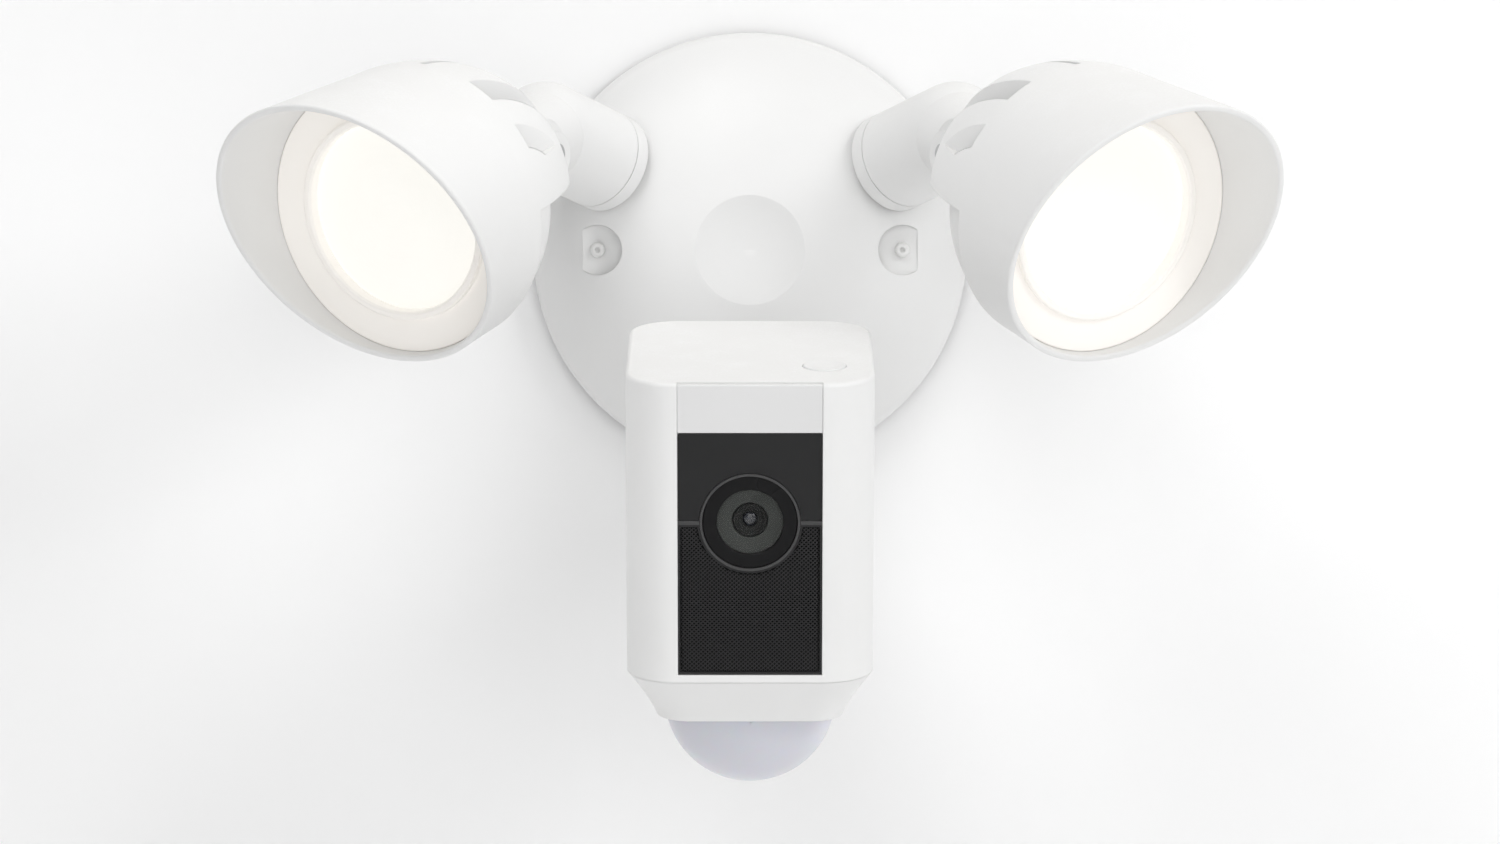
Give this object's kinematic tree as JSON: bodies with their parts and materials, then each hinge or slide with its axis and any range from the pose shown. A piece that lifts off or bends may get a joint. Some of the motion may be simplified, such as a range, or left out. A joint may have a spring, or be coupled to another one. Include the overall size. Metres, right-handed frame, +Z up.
{
  "type": "floodlight security camera",
  "caption": "Wall-mounted floodlight security camera: a domed round base with swivelling visored light heads and a camera head on a ball joint with a motion sensor dome.",
  "frame": {"origin": "centre of the wall face, in the middle of the round base", "axes": "+X to the right seen from the front, +Y into the wall, +Z up"},
  "size_m": [0.3026, 0.1855, 0.2195],
  "materials": {
    "white_shell": "fine satin moulded plastic",
    "white_metal": "white powder coat on die-cast aluminium",
    "label_grey": "pale grey satin strip",
    "button_white": "satin plastic",
    "panel_black": "matt black plastic",
    "trim_grey": "dark grey satin plastic",
    "lens_black": "dark tinted window",
    "shroud_grey": "grey green matt plastic",
    "barrel_black": "matt black",
    "lens_clear": "coated lens glass",
    "dome_translucent": "translucent bluish moulded plastic",
    "seal_rubber": "black rubber",
    "bezel_white": "warm white satin plastic",
    "diffuser_glow": "lit opal diffuser",
    "reflector_silver": "metallised plastic",
    "led_yellow": "phosphor over chips",
    "board_white": "white solder mask on metal core",
    "board_green": "green solder mask",
    "steel": "plated steel",
    "screw_white": "white painted steel",
    "inner_black": "black moulded plastic",
    "inner_grey": "grey moulded plastic",
    "liner_nylon": "natural nylon"
  },
  "bodies": {
    "base": {"wall_bracket": "steel", "wall_gasket": "seal_rubber", "base_housing": "white_shell", "base_back_plate": "inner_grey", "back_plate_screws": "steel", "cable_grommet": "seal_rubber", "mounting_screws": "screw_white", "power_board": "board_green", "terminal_block": "inner_black", "siren": "inner_black", "arm_seals": "seal_rubber", "camera_stem": "white_shell"},
    "left_arm": {"left_arm": "white_metal", "left_arm_nut": "steel", "left_pivot_bolt": "steel"},
    "left_lock": {"left_lock_tab": "white_metal"},
    "left_light": {"left_light_housing": "white_metal", "left_bezel": "bezel_white", "left_diffuser": "diffuser_glow", "left_light_seal": "seal_rubber", "left_led_board": "board_white", "left_leds": "led_yellow", "left_reflector": "reflector_silver"},
    "right_arm": {"right_arm": "white_metal", "right_arm_nut": "steel", "right_pivot_bolt": "steel"},
    "right_lock": {"right_lock_tab": "white_metal"},
    "right_light": {"right_light_housing": "white_metal", "right_bezel": "bezel_white", "right_diffuser": "diffuser_glow", "right_light_seal": "seal_rubber", "right_led_board": "board_white", "right_leds": "led_yellow", "right_reflector": "reflector_silver"},
    "ball_liner": {"ball_liner": "liner_nylon"},
    "camera_head": {"head_shell": "white_shell", "rear_cover": "white_shell", "rear_screws": "steel", "chin_cover": "white_shell", "dome_seal": "seal_rubber", "motion_dome": "dome_translucent", "motion_board": "board_green", "motion_sensors": "steel", "label_strip": "label_grey", "upper_panel": "panel_black", "divider_bar": "trim_grey", "speaker_grille": "panel_black", "lens_ring": "trim_grey", "lens_window": "lens_black", "lens_shroud": "shroud_grey", "lens_barrel": "barrel_black", "lens_glass": "lens_clear", "sensor_board": "board_green", "infrared_leds": "inner_black", "main_board": "board_green", "speaker_driver": "inner_black", "button_switch": "inner_black", "ball_socket": "white_shell"},
    "ball_lock": {"ball_lock_ring": "white_shell"},
    "setup_button": {"setup_button": "button_white"}
  },
  "joints": [
    {"name": "left_arm_swivel", "type": "hinge", "parent": "base", "child": "left_arm", "pos_m": [-0.044, -0.02, 0.027], "axis": [-0.6071, -0.7402, 0.2891], "range_deg": [-60, 5]},
    {"name": "left_light_tilt", "type": "hinge", "parent": "left_arm", "child": "left_light", "pos_m": [-0.06929, -0.0759, 0.0283], "axis": [-0.8572, 0.515, 0], "range_deg": [-15, 40]},
    {"name": "left_lock_turn", "type": "hinge", "parent": "left_arm", "child": "left_lock", "pos_m": [-0.06929, -0.0759, 0.0283], "axis": [0.8572, -0.515, 0], "range_deg": [0, 70]},
    {"name": "right_arm_swivel", "type": "hinge", "parent": "base", "child": "right_arm", "pos_m": [0.044, -0.02, 0.027], "axis": [-0.6071, 0.7402, -0.2891], "range_deg": [-60, 5]},
    {"name": "right_light_tilt", "type": "hinge", "parent": "right_arm", "child": "right_light", "pos_m": [0.06929, -0.0759, 0.0283], "axis": [-0.8572, -0.515, 0], "range_deg": [-15, 40]},
    {"name": "right_lock_turn", "type": "hinge", "parent": "right_arm", "child": "right_lock", "pos_m": [0.06929, -0.0759, 0.0283], "axis": [0.8572, 0.515, 0], "range_deg": [0, 70]},
    {"name": "camera_pan", "type": "hinge", "parent": "base", "child": "ball_liner", "pos_m": [0, -0.075, -0.057], "axis": [0, 0, 1], "range_deg": [-15, 15]},
    {"name": "camera_tilt", "type": "hinge", "parent": "ball_liner", "child": "camera_head", "pos_m": [0, -0.075, -0.057], "axis": [-1, 0, 0], "range_deg": [-25, 10]},
    {"name": "ball_lock_turn", "type": "hinge", "parent": "camera_head", "child": "ball_lock", "pos_m": [0, -0.075, -0.057], "axis": [0, -0.9767, -0.2147], "range_deg": [0, 90]},
    {"name": "setup_button_press", "type": "slide", "parent": "camera_head", "child": "setup_button", "axis": [0, 0.2147, -0.9767], "range_m": [0, 0.0008], "stiffness_N_per_m": 900}
  ]
}
